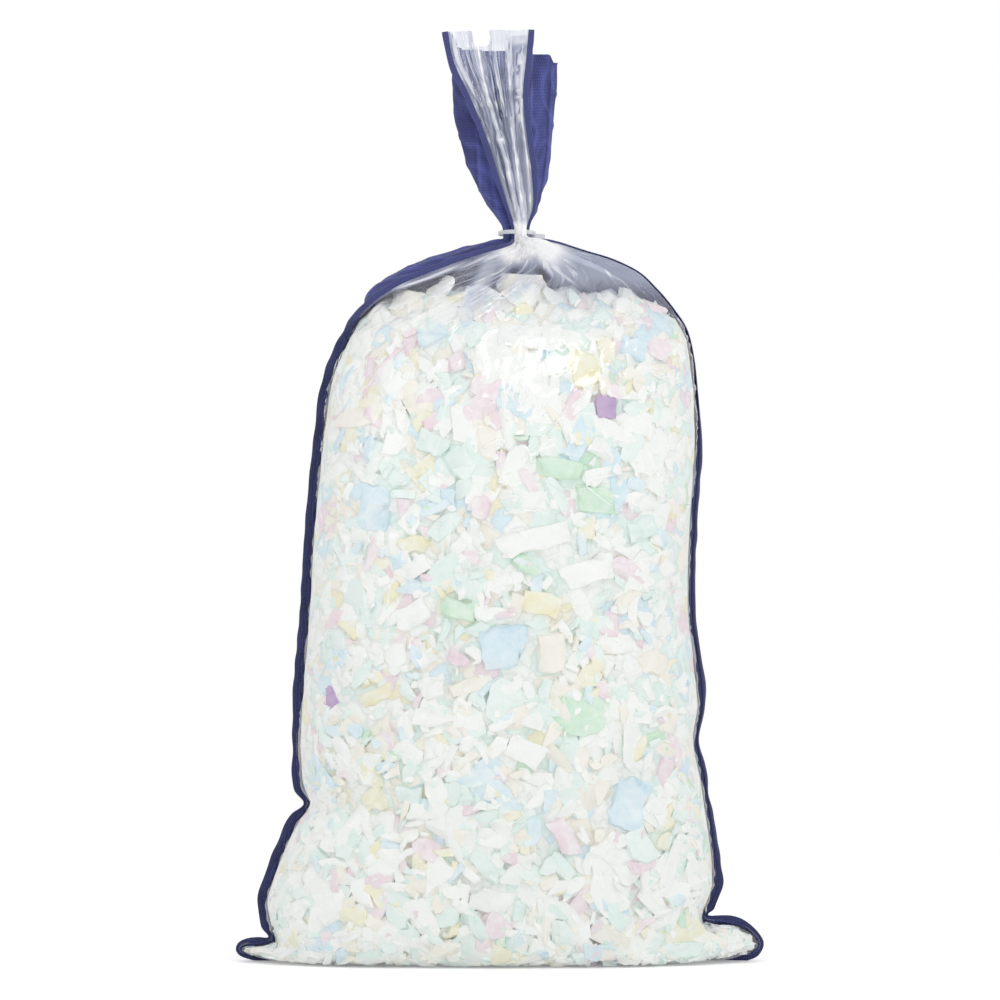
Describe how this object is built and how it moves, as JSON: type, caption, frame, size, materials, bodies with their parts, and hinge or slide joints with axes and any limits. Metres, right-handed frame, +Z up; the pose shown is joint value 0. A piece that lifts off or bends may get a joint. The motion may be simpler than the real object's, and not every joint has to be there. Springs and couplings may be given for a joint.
{
  "type": "bag of foam flakes",
  "caption": "Tied pillow bag with a clear film front, a non-woven back and bound edges, filled with shredded pastel foam for stuffing cushions.",
  "frame": {"origin": "middle of the footprint, on the surface the bag stands on", "axes": "+Z up to the tied neck, -Y to the clear front, +X to the right as seen from the front"},
  "size_m": [0.4551, 0.2205, 0.8011],
  "materials": {
    "clear_film": "clear glossy film",
    "nonwoven_blue": "embossed spun-bonded non-woven",
    "binding_blue": "folded non-woven tape",
    "tie_clear": "translucent moulded plastic",
    "foam_white": "torn foam",
    "foam_mint": "torn foam",
    "foam_blue": "torn foam",
    "foam_green": "torn foam",
    "foam_yellow": "torn foam",
    "foam_cream": "torn foam",
    "foam_pink": "torn foam",
    "foam_purple": "torn foam"
  },
  "bodies": {
    "root": {"front_film": "clear_film", "back_panel": "nonwoven_blue", "edge_binding": "binding_blue", "neck_tie": "tie_clear", "flake_heap": "foam_white", "flake_purple_1": "foam_purple", "flake_purple_2": "foam_purple", "flake_green_1": "foam_green", "flake_green_2": "foam_green", "flake_green_3": "foam_green", "flake_blue_1": "foam_blue", "flake_blue_2": "foam_blue", "flake_blue_3": "foam_blue", "flake_blue_4": "foam_blue", "flake_blue_5": "foam_blue", "flake_blue_6": "foam_blue", "flake_cream_1": "foam_cream", "flake_cream_2": "foam_cream", "flake_yellow_1": "foam_yellow", "flake_yellow_2": "foam_yellow", "flake_yellow_3": "foam_yellow", "flake_yellow_4": "foam_yellow", "flake_yellow_5": "foam_yellow", "flake_yellow_6": "foam_yellow", "flake_pink_1": "foam_pink", "flake_pink_2": "foam_pink", "flake_pink_3": "foam_pink", "flake_pink_4": "foam_pink", "flake_pink_5": "foam_pink", "flake_pink_6": "foam_pink", "flake_pink_7": "foam_pink", "flake_pink_8": "foam_pink", "flake_mint_1": "foam_mint", "flake_mint_2": "foam_mint", "flake_mint_3": "foam_mint", "flake_white_1": "foam_white", "flake_white_2": "foam_white", "flake_white_3": "foam_white", "flake_white_4": "foam_white", "flake_white_5": "foam_white", "flake_white_6": "foam_white"}
  },
  "joints": []
}
